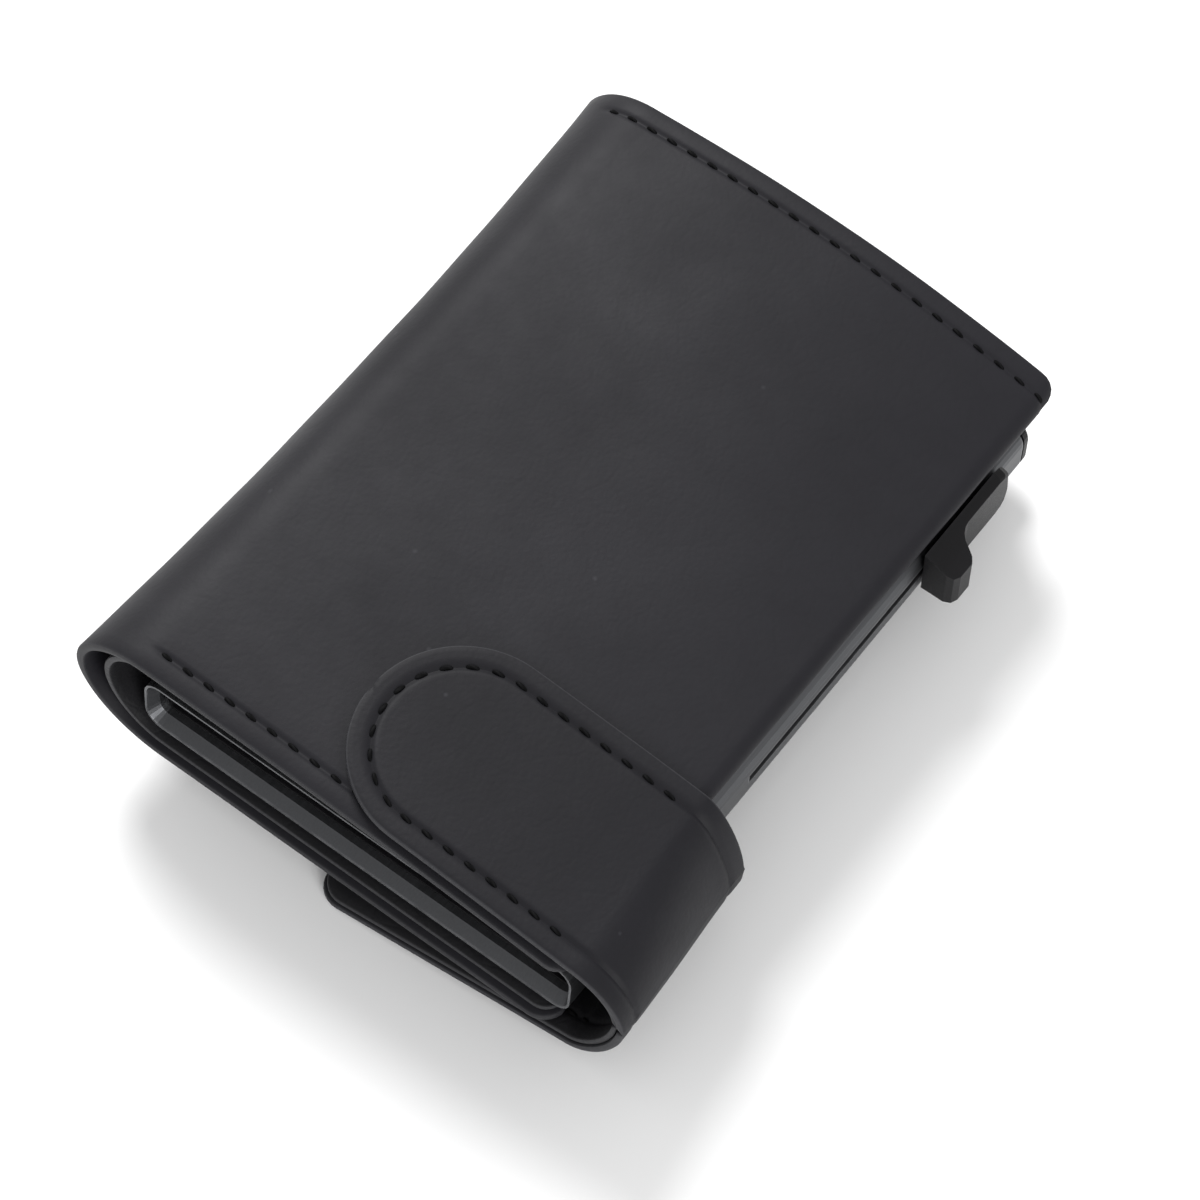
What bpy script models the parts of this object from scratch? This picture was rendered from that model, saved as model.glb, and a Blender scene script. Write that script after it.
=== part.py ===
"""Bifold wallet folded round an aluminium pop-up card case, closed by a strap with a press stud.

+X runs from the spine to the opening side, +Y from the mouth end to the sewn end, +Z is up.
Sizes below are in millimetres. The meshes are made in metres, and moved so that the origin lies
under the middle of the closed wallet, strap included.
"""

import math

import bmesh
import bpy
from mathutils import Matrix, Vector

# Driving dimensions, in millimetres
CENTRE = (4.3, -0.5755)  # the middle of the closed wallet, which becomes the origin
LENGTH = 100.0  # along Y
EDGE_X = 36.0  # opening edge of the front cover
BACK_EDGE_X = 34.4  # opening edge of the back cover
FOLD_X = -25.0  # where the covers run into the spine
BACK_Z = 5.6  # underside of the back cover, held up by the strap's end
BACK_FLAT_X = -2.0  # from here to its opening edge the back cover lifts a little
BACK_LIFT = 0.12
LEATHER = 1.3  # covers
LEAF = 0.9  # inner leaf of the banknote pocket
GAP = 0.3  # between layers that touch on the real wallet
JOIN = 0.15  # half the gap where one sheet runs into the next

SPINE_WIDE = 11.0  # how far the spine stands out past the fold line
FRONT_AT_FOLD = 28.0  # top of the front cover at the fold line
FRONT_AT_EDGE = 23.6  # top of the front cover at the opening edge
FRONT_BOW = 0.9

POCKET_GAP_FRONT = 0.6
POCKET_GAP_BACK = 0.4
LEAF_EDGE_X = 33.8

CASE_LEFT, CASE_RIGHT = -28.4, 35.6
CASE_Z, CASE_HEIGHT = 9.2, 8.4
CASE_MOUTH_Y, CASE_FAR_Y = -48.2, 44.0
CASE_WALL = 1.0
MOUTH_SLANT = 0.9  # how far the mouth's upper lip stands back from the lower one
MOUTH_FUNNEL, MOUTH_EDGE = 1.6, 0.3  # depth of the widened mouth, wall left at its rim
LINER_BACK = 2.5  # from the lower lip to the liner
CASE_ROUND = 2.4

TRAVEL = 38.0  # of the slider, towards the mouth
SLOT_Z, SLOT_HEIGHT = 14.0, 1.5
FOOT_Y = (26.0, 34.0)
LEVER_BELOW, LEVER_ABOVE = 2.9, 4.9  # the lever's extent from the slot's middle
LEVER_ROUND = 2.2
LEVER_SLOPE = 0.5  # its top falls towards the thumb piece

STRAP_Y = (-49.4, -22.4)
STRAP_TIP_X = -2.2
STRAP_TOP_X = 36.3  # where the strap leaves the front cover
STRAP_OUT = 8.3  # how far its bend stands out from there
STRAP_LAYER, STRAP_LINING = 1.0, 0.8
TAB_END_X = -1.0
TAB_SKEW = 2.0  # the free end lies this much nearer the mouth end

STUD_X, STUD_Y = 15.0, -37.0

# Joint axes run along Y through these (x, z) points
COVER_LOWER_FOLD = (-31.0, 10.0)
COVER_UPPER_FOLD = (-31.0, 24.0)
STRAP_UPPER_FOLD = (37.0, 22.0)
STRAP_LOWER_FOLD = (37.0, 5.5)


def material(name, colour, roughness, metallic=0.0):
    found = bpy.data.materials.get(name)
    if found:
        return found
    made = bpy.data.materials.new(name)
    made.use_nodes = True
    shader = made.node_tree.nodes["Principled BSDF"]
    shader.inputs["Base Color"].default_value = (*colour, 1.0)
    shader.inputs["Roughness"].default_value = roughness
    shader.inputs["Metallic"].default_value = metallic
    return made


def leather():
    return material("black_leather", (0.047, 0.047, 0.053), 0.55)


def lining():
    return material("lining_leather", (0.036, 0.036, 0.040), 0.65)


def aluminium():
    return material("grey_aluminium", (0.33, 0.34, 0.36), 0.38, 1.0)


def black_plastic():
    return material("black_plastic", (0.019, 0.018, 0.020), 0.45)


def felt():
    return material("grey_felt", (0.06, 0.06, 0.065), 0.95)


def stud_metal():
    return material("gunmetal", (0.20, 0.20, 0.21), 0.32, 1.0)


def finish(name, bm, look, smooth_angle=30.0):
    """Turn a bmesh in millimetres into a named object in metres."""
    bmesh.ops.recalc_face_normals(bm, faces=bm.faces)
    bmesh.ops.translate(bm, vec=(-CENTRE[0], -CENTRE[1], 0.0), verts=bm.verts)
    bmesh.ops.scale(bm, vec=(0.001, 0.001, 0.001), verts=bm.verts)
    mesh = bpy.data.meshes.new(name)
    bm.to_mesh(mesh)
    bm.free()
    mesh.shade_smooth()
    mesh.set_sharp_from_angle(angle=math.radians(smooth_angle))
    mesh.materials.append(look)
    obj = bpy.data.objects.new(name, mesh)
    bpy.context.scene.collection.objects.link(obj)
    return obj


def joint_empty(name, axis, y, parent, nodes):
    """An empty on a joint's axis that carries the nodes which move with it."""
    empty = bpy.data.objects.new(name, None)
    bpy.context.scene.collection.objects.link(empty)
    x, z = axis
    place = Vector((x - CENTRE[0], y - CENTRE[1], z)) / 1000
    empty.matrix_world = Matrix.Translation(place)
    bpy.context.view_layer.update()
    if parent:
        empty.parent = parent
        empty.matrix_parent_inverse = parent.matrix_world.inverted()
        bpy.context.view_layer.update()
    for node in nodes:
        obj = bpy.data.objects[node]
        obj.parent = empty
        obj.matrix_parent_inverse = empty.matrix_world.inverted()
    return empty


def ribbon(name, stations, look):
    """A sheet swept along a path. Each station is (outer xz, inner xz, y low, y high)."""
    bm = bmesh.new()
    rings = []
    for outer, inner, low, high in stations:
        corners = ((outer, low), (outer, high), (inner, high), (inner, low))
        rings.append([bm.verts.new((point[0], y, point[1])) for point, y in corners])
    for first, second in zip(rings, rings[1:]):
        for i in range(4):
            j = (i + 1) % 4
            bm.faces.new((first[i], first[j], second[j], second[i]))
    bm.faces.new(rings[0])
    bm.faces.new(rings[-1])
    return finish(name, bm, look)


def stack(name, loops, look, smooth_angle=30.0):
    """A closed solid through loops of equal length, with flat ends."""
    bm = bmesh.new()
    rings = [[bm.verts.new(point) for point in loop] for loop in loops]
    for first, second in zip(rings, rings[1:]):
        for i in range(len(first)):
            j = (i + 1) % len(first)
            bm.faces.new((first[i], first[j], second[j], second[i]))
    bm.faces.new(rings[0])
    bm.faces.new(rings[-1])
    return finish(name, bm, look, smooth_angle)


def tube(name, outer, inner, low, high, look, slant=0.0, widened=None):
    """A tube along Y between two xz outlines. Slant sets the upper side of its low end back.

    Widened is an outline for the mouth at the low end and the depth over which it narrows.
    """
    bottom = min(z for _, z in outer)
    tall = max(z for _, z in outer) - bottom
    bm = bmesh.new()
    levels = [(outer, low, slant), (outer, high, 0.0), (inner, high, 0.0)]
    if widened:
        mouth, depth = widened
        levels += [(inner, low + depth, slant), (mouth, low, slant)]
    else:
        levels.append((inner, low, slant))
    rings = []
    for outline, y, lean in levels:
        ring_points = [(x, y + lean * (z - bottom) / tall, z) for x, z in outline]
        rings.append([bm.verts.new(point) for point in ring_points])
    for k, first in enumerate(rings):
        second = rings[(k + 1) % len(rings)]
        for i in range(len(first)):
            j = (i + 1) % len(first)
            bm.faces.new((first[i], first[j], second[j], second[i]))
    return finish(name, bm, look)


def box(name, x, y, z, look, bevel=0.0):
    bm = bmesh.new()
    bmesh.ops.create_cube(bm, size=1.0)
    bmesh.ops.scale(bm, vec=(x[1] - x[0], y[1] - y[0], z[1] - z[0]), verts=bm.verts)
    middle = ((x[0] + x[1]) / 2, (y[0] + y[1]) / 2, (z[0] + z[1]) / 2)
    bmesh.ops.translate(bm, vec=middle, verts=bm.verts)
    if bevel:
        bmesh.ops.bevel(bm, geom=bm.edges[:], offset=bevel, segments=2, affect="EDGES", profile=0.5)
    return finish(name, bm, look)


def combine(target, other, operation):
    """Apply a Boolean and remove the object that it used."""
    modifier = target.modifiers.new(operation.lower(), "BOOLEAN")
    modifier.operation = operation
    modifier.object = other
    modifier.solver = "EXACT"
    with bpy.context.temp_override(object=target, active_object=target):
        bpy.ops.object.modifier_apply(modifier=modifier.name)
    bpy.data.objects.remove(other)


def rounded_rectangle(x, z, radius, steps=5):
    """Outline of a rectangle with round corners, anticlockwise from its lower right corner."""
    points = []
    centres = (
        (x[1] - radius, z[0] + radius, -90),
        (x[1] - radius, z[1] - radius, 0),
        (x[0] + radius, z[1] - radius, 90),
        (x[0] + radius, z[0] + radius, 180),
    )
    for cx, cz, start in centres:
        for step in range(steps + 1):
            angle = math.radians(start + 90 * step / steps)
            points.append((cx + radius * math.cos(angle), cz + radius * math.sin(angle)))
    return points


def front_top(x):
    """Height of the front cover's outer face: it falls towards the opening edge and bows a little."""
    t = (x - FOLD_X) / (EDGE_X - FOLD_X)
    return FRONT_AT_FOLD + (FRONT_AT_EDGE - FRONT_AT_FOLD) * t + 4 * FRONT_BOW * t * (1 - t)


def steps_between(start, end, count):
    return [start + (end - start) * i / count for i in range(count + 1)]


def corner_stations(start, end, radius, low, high, count=8):
    """(x, y low, y high) from start to end, with both corners at the end rounded."""
    middle = end - math.copysign(radius, end - start)
    found = [(x, low, high) for x in steps_between(start, middle, count)]
    for step in range(1, 6):
        angle = math.radians(84 * step / 5)
        x = middle + math.copysign(radius * math.sin(angle), end - start)
        inset = radius * (1 - math.cos(angle))
        found.append((x, low + inset, high - inset))
    return found


def front_sheet(name, start, end, depth, thickness, y, radius, look, count=8):
    """A sheet that follows the front cover, this deep under its outer face."""
    stations = []
    for x, low, high in corner_stations(start, end, radius, y[0], y[1], count):
        top = front_top(x) - depth
        stations.append(((x, top), (x, top - thickness), low, high))
    return ribbon(name, stations, look)


def back_lift(x):
    """How far the back cover has lifted off its flat part at x."""
    return BACK_LIFT * max(0.0, (x - BACK_FLAT_X) / (BACK_EDGE_X - BACK_FLAT_X))


def flat_sheet(name, start, end, z, thickness, y, radius, look, lift=None, count=3):
    stations = []
    found = corner_stations(start, end, radius, y[0], y[1], count)
    if lift:
        bend = (BACK_FLAT_X, y[0], y[1])
        found = sorted(found + [bend])
    for x, low, high in found:
        level = z + (lift(x) if lift else 0.0)
        stations.append(((x, level + thickness), (x, level), low, high))
    return ribbon(name, stations, look)


def arc_sheet(name, centre, outer, inner, angles, y, look, count=16):
    """A sheet bent round an ellipse: outer and inner are its (x, z) radii, angles in degrees."""
    stations = []
    for angle in steps_between(angles[0], angles[1], count):
        c, s = math.cos(math.radians(angle)), math.sin(math.radians(angle))
        far = (centre[0] + outer[0] * c, centre[1] + outer[1] * s)
        near = (centre[0] + inner[0] * c, centre[1] + inner[1] * s)
        stations.append((far, near, y[0], y[1]))
    return ribbon(name, stations, look)


def make_covers():
    half = LENGTH / 2
    span = (-half, half)
    start = FOLD_X + JOIN
    flat_sheet("back_cover", start, BACK_EDGE_X, BACK_Z, LEATHER, span, 3.5, leather(), back_lift)
    front_sheet("front_cover", FOLD_X + JOIN, EDGE_X, 0.0, LEATHER, span, 3.5, leather())
    middle = (BACK_Z + FRONT_AT_FOLD) / 2
    tall = (FRONT_AT_FOLD - BACK_Z) / 2
    outer = (SPINE_WIDE, tall)
    inner = (SPINE_WIDE - LEATHER, tall - LEATHER)
    centre = (FOLD_X - JOIN, middle)
    arc_sheet("spine", centre, outer, inner, (90, 270), span, leather())


def make_inner_leaf():
    """The leaf that makes the banknote pocket behind each cover and carries the case and card pockets."""
    span = (-LENGTH / 2 + 0.8, LENGTH / 2 - 0.6)
    low = BACK_Z + LEATHER + POCKET_GAP_BACK
    high = FRONT_AT_FOLD - LEATHER - POCKET_GAP_FRONT
    depth = LEATHER + POCKET_GAP_FRONT
    flat_sheet("inner_leaf_back", FOLD_X + JOIN, LEAF_EDGE_X, low, LEAF, span, 2.5, lining())
    front_sheet("inner_leaf_front", FOLD_X + JOIN, LEAF_EDGE_X, depth, LEAF, span, 2.5, lining())
    tall = (high - low) / 2
    centre = (FOLD_X - JOIN, low + tall)
    inner = (7.4 - LEAF, tall - LEAF)
    arc_sheet("inner_leaf_fold", centre, (7.4, tall), inner, (90, 270), span, lining())


def make_card_pockets():
    """Two overlapping card pockets on the inside of the front leaf, open towards the spine."""
    depth = LEATHER + POCKET_GAP_FRONT + LEAF + GAP
    for name, start in (("card_pocket_rear", -14.0), ("card_pocket_front", -2.0)):
        front_sheet(name, start, 34.0, depth, 0.7, (-46.0, 46.5), 2.5, lining(), 6)
        depth += 0.7 + GAP


def make_case():
    x = (CASE_LEFT, CASE_RIGHT)
    z = (CASE_Z, CASE_Z + CASE_HEIGHT)
    outer = rounded_rectangle(x, z, CASE_ROUND)
    inside_x = (x[0] + CASE_WALL, x[1] - CASE_WALL)
    inside_z = (z[0] + CASE_WALL, z[1] - CASE_WALL)
    inside_round = CASE_ROUND - CASE_WALL
    inner = rounded_rectangle(inside_x, inside_z, inside_round)
    mouth = rounded_rectangle(
        (x[0] + MOUTH_EDGE, x[1] - MOUTH_EDGE),
        (z[0] + MOUTH_EDGE, z[1] - MOUTH_EDGE),
        CASE_ROUND - MOUTH_EDGE,
    )
    widened = (mouth, MOUTH_FUNNEL)
    case = tube("card_case", outer, inner, CASE_MOUTH_Y, CASE_FAR_Y, aluminium(), MOUTH_SLANT, widened)
    slot_y = (FOOT_Y[0] - TRAVEL - 1.0, FOOT_Y[1] + 1.0)
    slot_z = (SLOT_Z - SLOT_HEIGHT / 2, SLOT_Z + SLOT_HEIGHT / 2)
    cutter = box("slot_cutter", (x[1] - 2.5, x[1] + 2.5), slot_y, slot_z, aluminium())
    combine(case, cutter, "DIFFERENCE")

    play = 0.25
    liner_outer_x = (inside_x[0] + play, inside_x[1] - play)
    liner_outer_z = (inside_z[0] + play, inside_z[1] - play)
    thick = 0.5
    liner_x = (liner_outer_x[0] + thick, liner_outer_x[1] - thick)
    liner_z = (liner_outer_z[0] + thick, liner_outer_z[1] - thick)
    tube(
        "mouth_liner",
        rounded_rectangle(liner_outer_x, liner_outer_z, inside_round - play),
        rounded_rectangle(liner_x, liner_z, inside_round - play - thick),
        CASE_MOUTH_Y + LINER_BACK,
        CASE_MOUTH_Y + LINER_BACK + 1.4,
        black_plastic(),
    )

    plug = rounded_rectangle(
        (inside_x[0] + GAP, inside_x[1] - GAP),
        (inside_z[0] + GAP, inside_z[1] - GAP),
        inside_round - GAP,
    )
    rim = rounded_rectangle(x, z, CASE_ROUND)
    worn = rounded_rectangle((x[0] + 0.4, x[1] - 0.4), (z[0] + 0.4, z[1] - 0.4), CASE_ROUND - 0.4)
    levels = (
        (plug, CASE_FAR_Y - 2.4),
        (plug, CASE_FAR_Y + GAP),
        (rim, CASE_FAR_Y + GAP),
        (rim, CASE_FAR_Y + 1.1),
        (worn, CASE_FAR_Y + 1.5),
    )
    stack("case_end_cap", [[(px, y, pz) for px, pz in loop] for loop, y in levels], black_plastic())

    pad_z = BACK_Z + LEATHER + POCKET_GAP_BACK + LEAF + 0.25
    box("case_mounting_pad", (-20.0, 28.0), (-40.0, 38.0), (pad_z, CASE_Z - GAP), felt())


def make_case_inside():
    low = CASE_Z + CASE_WALL + GAP
    high = CASE_Z + CASE_HEIGHT - CASE_WALL - GAP
    strip_y = (CASE_MOUTH_Y + 4.2, CASE_MOUTH_Y + 10.2)
    box("friction_strip_lower", (-23.6, 30.4), strip_y, (low, low + 0.6), felt())
    box("friction_strip_upper", (-23.6, 30.4), strip_y, (high - 0.6, high), felt())
    rail_x = (CASE_LEFT + CASE_WALL + 0.4, -24.2)
    box("card_guide_rail", rail_x, (-43.6, 36.8), (low + 0.4, high - 0.4), black_plastic(), 0.3)


def make_slider():
    low = CASE_Z + CASE_WALL + 0.35
    high = CASE_Z + CASE_HEIGHT - CASE_WALL - 0.35
    back = CASE_FAR_Y - 2.4 - GAP
    treads = 4
    tread = 0.85
    rise = (high - low) / treads
    front = back - 3.4
    outline = [(back, low)]
    for step in range(treads):
        outline.append((front + step * tread, low + step * rise))
        outline.append((front + step * tread, low + (step + 1) * rise))
    outline.append((back, high))
    ends = (-23.8, 33.6)  # clear of the guide rail
    steps = stack(
        "ejector_carriage",
        [[(end, y, z) for y, z in outline] for end in ends],
        black_plastic(),
        20.0,
    )
    arm = box(
        "arm", (31.2, CASE_RIGHT - CASE_WALL - 0.4), (23.0, back - 0.4), (low + 0.2, high - 0.2), black_plastic()
    )
    combine(steps, arm, "UNION")
    foot_z = (SLOT_Z - 0.5, SLOT_Z + 0.5)
    pocket = box(
        "pocket",
        (32.4, 36.0),
        (FOOT_Y[0] - GAP, FOOT_Y[1] + GAP),
        (foot_z[0] - GAP, foot_z[1] + GAP),
        black_plastic(),
    )
    combine(steps, pocket, "DIFFERENCE")

    wall = CASE_RIGHT + 0.35
    plate = wall + 1.3
    near, far = 22.0, 38.8
    tip = 40.5
    hollow = 2.6
    outline = [(wall, near), (tip - 1.3, near), (tip - 0.4, near + 0.4), (tip, near + 1.3), (tip, near + 3.7)]
    outline.append((tip - 0.5, near + 4.4))
    for step in range(1, 6):
        angle = math.radians(90 * step / 5)
        x = plate + hollow * (1 - math.sin(angle))
        y = near + 4.8 + hollow * (1 - math.cos(angle))
        outline.append((x, y))
    tail = ((plate, 0.5), (plate - 0.2, 0.1), (plate - 0.5, 0.0), (wall, 0.0))
    loops = []
    # the far end is rounded, seen from the side
    for across in (-90, -60, -35, 0, 35, 60, 90):
        s = math.sin(math.radians(across))
        half = LEVER_ABOVE if s > 0 else LEVER_BELOW
        level = (half - LEVER_ROUND) * s / abs(s) if s else 0.0
        level += LEVER_ROUND * s
        lean = LEVER_SLOPE * max(level, 0.0) / LEVER_ABOVE
        back_off = LEVER_ROUND * (1 - math.cos(math.radians(across)))
        points = outline + [(x, far - back_off - inset) for x, inset in tail]
        loops.append([(x, y, SLOT_Z + level - lean * (x - wall)) for x, y in points])
    lever = stack("slider_lever", loops, black_plastic())
    foot = box("foot", (32.8, wall + 0.5), FOOT_Y, foot_z, black_plastic())
    combine(lever, foot, "UNION")


def make_strap_on_cover():
    """The sewn part: a lining and an outer layer with a round end, lying on the front cover."""
    middle = (STRAP_Y[0] + STRAP_Y[1]) / 2
    layers = (
        ("strap_lining_sewn", GAP, STRAP_LINING, 0.5, lining()),
        ("strap_outer_sewn", GAP + STRAP_LINING + 0.25, STRAP_LAYER, 0.0, leather()),
    )
    for name, lift, thickness, inset, look in layers:
        radius = (STRAP_Y[1] - STRAP_Y[0]) / 2 - inset
        centre = STRAP_TIP_X + inset + radius
        places = []
        for step in range(1, 11):
            angle = math.radians(9 * step)
            places.append((centre - radius * math.cos(angle), radius * math.sin(angle)))
        for x in steps_between(centre, STRAP_TOP_X - JOIN, 5)[1:]:
            places.append((x, radius))
        stations = []
        for x, half in places:
            low = front_top(min(x, EDGE_X)) + lift
            stations.append(((x, low + thickness), (x, low), middle - half, middle + half))
        ribbon(name, stations, look)


def tab_under(x):
    """Height of the underside of the strap's free end: it hangs down a little towards its tip."""
    return 3.05 * (x - TAB_END_X) / (STRAP_TOP_X - TAB_END_X)


def make_strap_bend():
    stack_height = GAP + STRAP_LINING + 0.25 + STRAP_LAYER
    top = front_top(EDGE_X) + stack_height
    bottom = tab_under(STRAP_TOP_X)
    centre = (STRAP_TOP_X + JOIN, (top + bottom) / 2)
    tall = (top - bottom) / 2
    outer = (STRAP_OUT, tall)
    under = (STRAP_OUT - STRAP_LAYER, tall - STRAP_LAYER)
    arc_sheet("strap_outer_bend", centre, outer, under, (90, -90), STRAP_Y, leather())
    start = STRAP_LAYER + 0.25
    outer = (STRAP_OUT - start, tall - start)
    under = (outer[0] - STRAP_LINING, outer[1] - STRAP_LINING)
    span = (STRAP_Y[0] + 0.5, STRAP_Y[1] - 0.5)
    arc_sheet("strap_lining_bend", centre, outer, under, (90, -90), span, lining())


def make_strap_tab():
    """The free end under the back cover, with the press stud's socket on its lining."""
    layers = (
        ("strap_outer_tab", 0.0, STRAP_LAYER, 0.0, leather()),
        ("strap_lining_tab", STRAP_LAYER + 0.25, STRAP_LINING, 0.5, lining()),
    )
    start = STRAP_TOP_X - JOIN
    for name, lift, thickness, inset, look in layers:
        stations = []
        span = (STRAP_Y[0] + inset, STRAP_Y[1] - inset)
        end = TAB_END_X + inset
        for x, low, high in corner_stations(start, end, 4.0, span[0], span[1], 5):
            z = tab_under(x) + lift
            shift = TAB_SKEW * (start - x) / (start - TAB_END_X)
            stations.append(((x, z + thickness), (x, z), low - shift, high - shift))
        ribbon(name, stations, look)


def ring(radius, z, x, y, count=24):
    points = []
    for i in range(count):
        angle = 2 * math.pi * i / count
        points.append((x + radius * math.cos(angle), y + radius * math.sin(angle), z))
    return points


def make_press_stud():
    stack(
        "press_stud",
        [
            ring(1.5, 3.6, STUD_X, STUD_Y),
            ring(1.7, 3.9, STUD_X, STUD_Y),
            ring(1.5, 4.5, STUD_X, STUD_Y),
            ring(1.5, 4.8, STUD_X, STUD_Y),
            ring(4.4, 5.0, STUD_X, STUD_Y),
            ring(4.6, BACK_Z - GAP, STUD_X, STUD_Y),
        ],
        stud_metal(),
    )
    lift = tab_under(STUD_X) + STRAP_LAYER + 0.25 + STRAP_LINING + 0.45
    tall = 1.0
    bm = bmesh.new()
    levels = ((5.0, 0.0), (4.6, tall), (2.4, tall), (2.4, 0.0))
    rings = [[bm.verts.new(p) for p in ring(r, lift + z, STUD_X, STUD_Y)] for r, z in levels]
    for k in range(4):
        first, second = rings[k], rings[(k + 1) % 4]
        for i in range(len(first)):
            j = (i + 1) % len(first)
            bm.faces.new((first[i], first[j], second[j], second[i]))
    finish("press_stud_socket", bm, stud_metal())


def hang_on_joints():
    """Empties on the folds: back cover, spine, front cover, strap bend and strap tab form a chain."""
    strap_middle = (STRAP_Y[0] + STRAP_Y[1]) / 2
    front = ["front_cover", "inner_leaf_front", "card_pocket_rear", "card_pocket_front"]
    front += ["strap_lining_sewn", "strap_outer_sewn"]
    bend = ["strap_outer_bend", "strap_lining_bend"]
    tab = ["strap_outer_tab", "strap_lining_tab", "press_stud_socket"]
    lower = joint_empty("cover_lower_fold", COVER_LOWER_FOLD, 0, None, ["spine", "inner_leaf_fold"])
    upper = joint_empty("cover_upper_fold", COVER_UPPER_FOLD, 0, lower, front)
    strap = joint_empty("strap_upper_fold", STRAP_UPPER_FOLD, strap_middle, upper, bend)
    joint_empty("strap_lower_fold", STRAP_LOWER_FOLD, strap_middle, strap, tab)
    slide_axis = (CASE_RIGHT, SLOT_Z)
    joint_empty("slider_travel", slide_axis, FOOT_Y[0], None, ["slider_lever", "ejector_carriage"])


def main():
    for obj in list(bpy.data.objects):
        bpy.data.objects.remove(obj)
    make_covers()
    make_inner_leaf()
    make_card_pockets()
    make_case()
    make_case_inside()
    make_slider()
    make_strap_on_cover()
    make_strap_bend()
    make_strap_tab()
    make_press_stud()
    hang_on_joints()


main()
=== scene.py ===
import math

import bmesh
import bpy
import numpy as np
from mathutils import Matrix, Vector


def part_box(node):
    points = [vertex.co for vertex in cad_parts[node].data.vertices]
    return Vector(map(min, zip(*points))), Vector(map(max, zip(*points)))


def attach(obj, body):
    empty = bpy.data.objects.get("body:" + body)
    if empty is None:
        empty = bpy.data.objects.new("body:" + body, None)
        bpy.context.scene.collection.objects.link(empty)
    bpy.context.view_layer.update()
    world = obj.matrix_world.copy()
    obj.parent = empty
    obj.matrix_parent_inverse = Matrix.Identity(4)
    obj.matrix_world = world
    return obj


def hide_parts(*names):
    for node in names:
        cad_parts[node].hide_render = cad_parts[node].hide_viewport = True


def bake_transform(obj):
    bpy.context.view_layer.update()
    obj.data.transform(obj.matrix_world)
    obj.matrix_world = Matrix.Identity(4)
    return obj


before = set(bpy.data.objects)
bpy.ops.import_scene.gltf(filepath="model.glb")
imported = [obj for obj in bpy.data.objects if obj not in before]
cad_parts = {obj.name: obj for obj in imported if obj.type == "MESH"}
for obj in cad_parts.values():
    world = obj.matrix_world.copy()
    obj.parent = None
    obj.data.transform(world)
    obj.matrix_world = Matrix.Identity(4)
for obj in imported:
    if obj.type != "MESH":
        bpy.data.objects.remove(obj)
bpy.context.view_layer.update()  # frame["bodies"], ["nodes"], ["joints"], ["record"]
scene = bpy.context.scene

# shapes below are in millimetres from the spine's fold, as in the part's own drawing;
# shift takes them to the shared frame
shift = np.array((-4.3, 0.5755, 0.0))


def toFrame(points):
    return (np.asarray(points, float) + shift) / 1000.0


def newGroup(name, numbers, results):
    # takes a vector and the given numbers, and puts out masks or heights
    group = bpy.data.node_groups.new(name, "ShaderNodeTree")
    group.interface.new_socket(name="Vector", in_out="INPUT", socket_type="NodeSocketVector")
    for label, value in numbers.items():
        socket = group.interface.new_socket(name=label, in_out="INPUT", socket_type="NodeSocketFloat")
        socket.default_value = value
    for label in results:
        group.interface.new_socket(name=label, in_out="OUTPUT", socket_type="NodeSocketFloat")
    given = addNode(group, "NodeGroupInput", (-900, 0))
    result = addNode(group, "NodeGroupOutput", (700, 0))
    return group, given.outputs, result.inputs


def addNode(tree, kind, place, label="", **settings):
    # in_Name is the input of that name or number: a plain value, or another node's output
    node = tree.nodes.new(kind)
    node.location = place
    node.label = label
    inputs = {key[3:]: value for key, value in settings.items() if key.startswith("in_")}
    for key, value in settings.items():
        if not key.startswith("in_"):
            setattr(node, key, value)
    for key, value in inputs.items():
        socket = node.inputs[int(key) if key.isdigit() else key.replace("_", " ")]
        if isinstance(value, bpy.types.NodeSocket):
            tree.links.new(value, socket)
        else:
            socket.default_value = value
    return node


def calc(tree, place, operation, *values, label="", **settings):
    settings.update({f"in_{i}": value for i, value in enumerate(values)})
    return addNode(tree, "ShaderNodeMath", place, label, operation=operation, **settings).outputs[0]


def remap(tree, place, value, fromRange, toRange, label="", **settings):
    numbers = (value, *fromRange, *toRange)
    settings.update({f"in_{i}": number for i, number in enumerate(numbers)})
    return addNode(tree, "ShaderNodeMapRange", place, label, **settings).outputs[0]


def mixColours(tree, place, share, first, second, label=""):
    first, second = (c if isinstance(c, bpy.types.NodeSocket) else (*c, 1) for c in (first, second))
    inputs = {"in_0": share, "in_6": first, "in_7": second}
    return addNode(tree, "ShaderNodeMix", place, label, data_type="RGBA", **inputs).outputs[2]


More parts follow.
